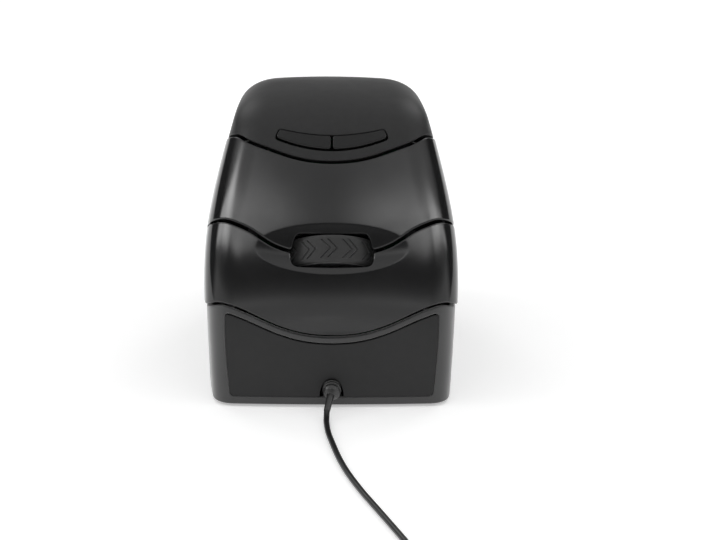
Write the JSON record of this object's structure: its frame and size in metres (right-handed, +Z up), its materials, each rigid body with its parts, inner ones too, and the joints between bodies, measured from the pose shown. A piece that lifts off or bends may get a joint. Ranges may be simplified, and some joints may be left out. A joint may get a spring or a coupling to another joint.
{
  "type": "vertical ergonomic mouse",
  "caption": "Upright tapering hand-grip mouse with wrap-round front keys, a sideways roller wheel in an oval dish, small top keys and a thin cord with a plug.",
  "frame": {"origin": "on the desk, at the centre of the footprint box of the body without its cord", "axes": "+Z up, -Y towards the keys and the cord exit, +X to the right as seen from the keys"},
  "size_m": [0.0877, 0.2239, 0.0724],
  "materials": {
    "body_plastic": "fine satin moulded black",
    "plate_plastic": "matt fine-textured black",
    "key_plastic": "smooth satin-gloss black",
    "cap_plastic": "matt fine-textured black",
    "glide": "slippery off-white glide pad",
    "steel": "turned steel",
    "frame_plastic": "moulded dark grey",
    "tyre_rubber": "matt moulded tread",
    "switch_plastic": "moulded black",
    "plunger_plastic": "moulded ivory",
    "board": "green solder mask",
    "lens": "clear moulded",
    "lamp": "clear red",
    "ribbon": "amber film",
    "relief_rubber": "matt soft moulding",
    "cord_jacket": "satin jacket",
    "plug_metal": "nickel plated"
  },
  "bodies": {
    "housing": {"base_shell": "body_plastic", "front_plate": "plate_plastic", "rear_housing": "body_plastic", "cap": "cap_plastic", "base_plate": "plate_plastic", "glide_feet": "glide", "base_screws": "steel", "chassis": "frame_plastic", "button_hinge_pins": "steel", "carrier_guide_pins": "steel", "wheel_switch": "switch_plastic", "upper_switch": "switch_plastic", "lower_switch": "switch_plastic", "cap_switch_left": "switch_plastic", "cap_switch_right": "switch_plastic", "front_board": "board", "main_board": "board", "cap_board": "board", "sensor_chip": "switch_plastic", "sensor_lens": "lens", "sensor_lamp": "lamp", "front_ribbon": "ribbon", "cap_ribbon": "ribbon", "cord_socket": "plunger_plastic", "inner_lead": "cord_jacket", "strain_relief": "relief_rubber", "cord_tube": "cord_jacket", "cord_coil": "cord_jacket", "cord_ties": "relief_rubber", "cord_tail": "cord_jacket", "plug_grip": "relief_rubber", "plug_shell": "plug_metal", "plug_tongue": "plunger_plastic"},
    "upper_button": {"upper_button": "key_plastic", "hinge_brackets": "frame_plastic"},
    "upper_plunger": {"upper_plunger": "plunger_plastic"},
    "lower_button": {"lower_button": "key_plastic"},
    "lower_plunger": {"lower_plunger": "plunger_plastic"},
    "cap_button_left": {"cap_button_left": "key_plastic"},
    "cap_button_right": {"cap_button_right": "key_plastic"},
    "cap_plunger_left": {"cap_plunger_left": "plunger_plastic"},
    "cap_plunger_right": {"cap_plunger_right": "plunger_plastic"},
    "wheel_carrier": {"wheel_carrier": "frame_plastic", "wheel_encoder": "switch_plastic"},
    "wheel": {"wheel_hub": "frame_plastic", "wheel_tyre": "tyre_rubber", "wheel_axle": "steel"},
    "wheel_plunger": {"wheel_plunger": "plunger_plastic"}
  },
  "joints": [
    {"name": "upper_button_press", "type": "hinge", "parent": "housing", "child": "upper_button", "pos_m": [0, -0.0189, 0.0523], "axis": [1, 0, 0], "range_deg": [0, 1.4], "stiffness_Nm_per_rad": 0.6, "springref_deg": -1.15},
    {"name": "upper_plunger_travel", "type": "slide", "parent": "housing", "child": "upper_plunger", "axis": [0, 0.829, -0.5592], "range_m": [0, 0.0003]},
    {"name": "lower_button_press", "type": "slide", "parent": "housing", "child": "lower_button", "axis": [0, 0.829, -0.5592], "range_m": [0, 0.0004], "stiffness_N_per_m": 1500, "springref_m": -0.0003},
    {"name": "lower_plunger_travel", "type": "slide", "parent": "housing", "child": "lower_plunger", "axis": [0, 0.829, -0.5592], "range_m": [0, 0.0004]},
    {"name": "wheel_click", "type": "slide", "parent": "housing", "child": "wheel_carrier", "axis": [0, 0.829, -0.5592], "range_m": [0, 0.0004], "stiffness_N_per_m": 1500, "springref_m": -0.0003},
    {"name": "wheel_plunger_travel", "type": "slide", "parent": "housing", "child": "wheel_plunger", "axis": [0, 0.829, -0.5592], "range_m": [0, 0.0004]},
    {"name": "wheel_spin", "type": "hinge", "parent": "wheel_carrier", "child": "wheel", "pos_m": [0, -0.0275, 0.03344], "axis": [0, 0.5592, 0.829], "continuous": true},
    {"name": "cap_button_left_press", "type": "slide", "parent": "housing", "child": "cap_button_left", "axis": [0, 0.809, -0.5878], "range_m": [0, 0.0004], "stiffness_N_per_m": 800, "springref_m": -0.0002},
    {"name": "cap_plunger_left_travel", "type": "slide", "parent": "housing", "child": "cap_plunger_left", "axis": [0, 0.809, -0.5878], "range_m": [0, 0.0004]},
    {"name": "cap_button_right_press", "type": "slide", "parent": "housing", "child": "cap_button_right", "axis": [0, 0.809, -0.5878], "range_m": [0, 0.0004], "stiffness_N_per_m": 800, "springref_m": -0.0002},
    {"name": "cap_plunger_right_travel", "type": "slide", "parent": "housing", "child": "cap_plunger_right", "axis": [0, 0.809, -0.5878], "range_m": [0, 0.0004]}
  ],
  "couplings": [
    {"joint": "upper_plunger_travel", "follows": "upper_button_press", "m_per_rad": 0.009},
    {"joint": "lower_plunger_travel", "follows": "lower_button_press", "ratio": 1},
    {"joint": "wheel_plunger_travel", "follows": "wheel_click", "ratio": 1},
    {"joint": "cap_plunger_left_travel", "follows": "cap_button_left_press", "ratio": 1},
    {"joint": "cap_plunger_right_travel", "follows": "cap_button_right_press", "ratio": 1}
  ]
}
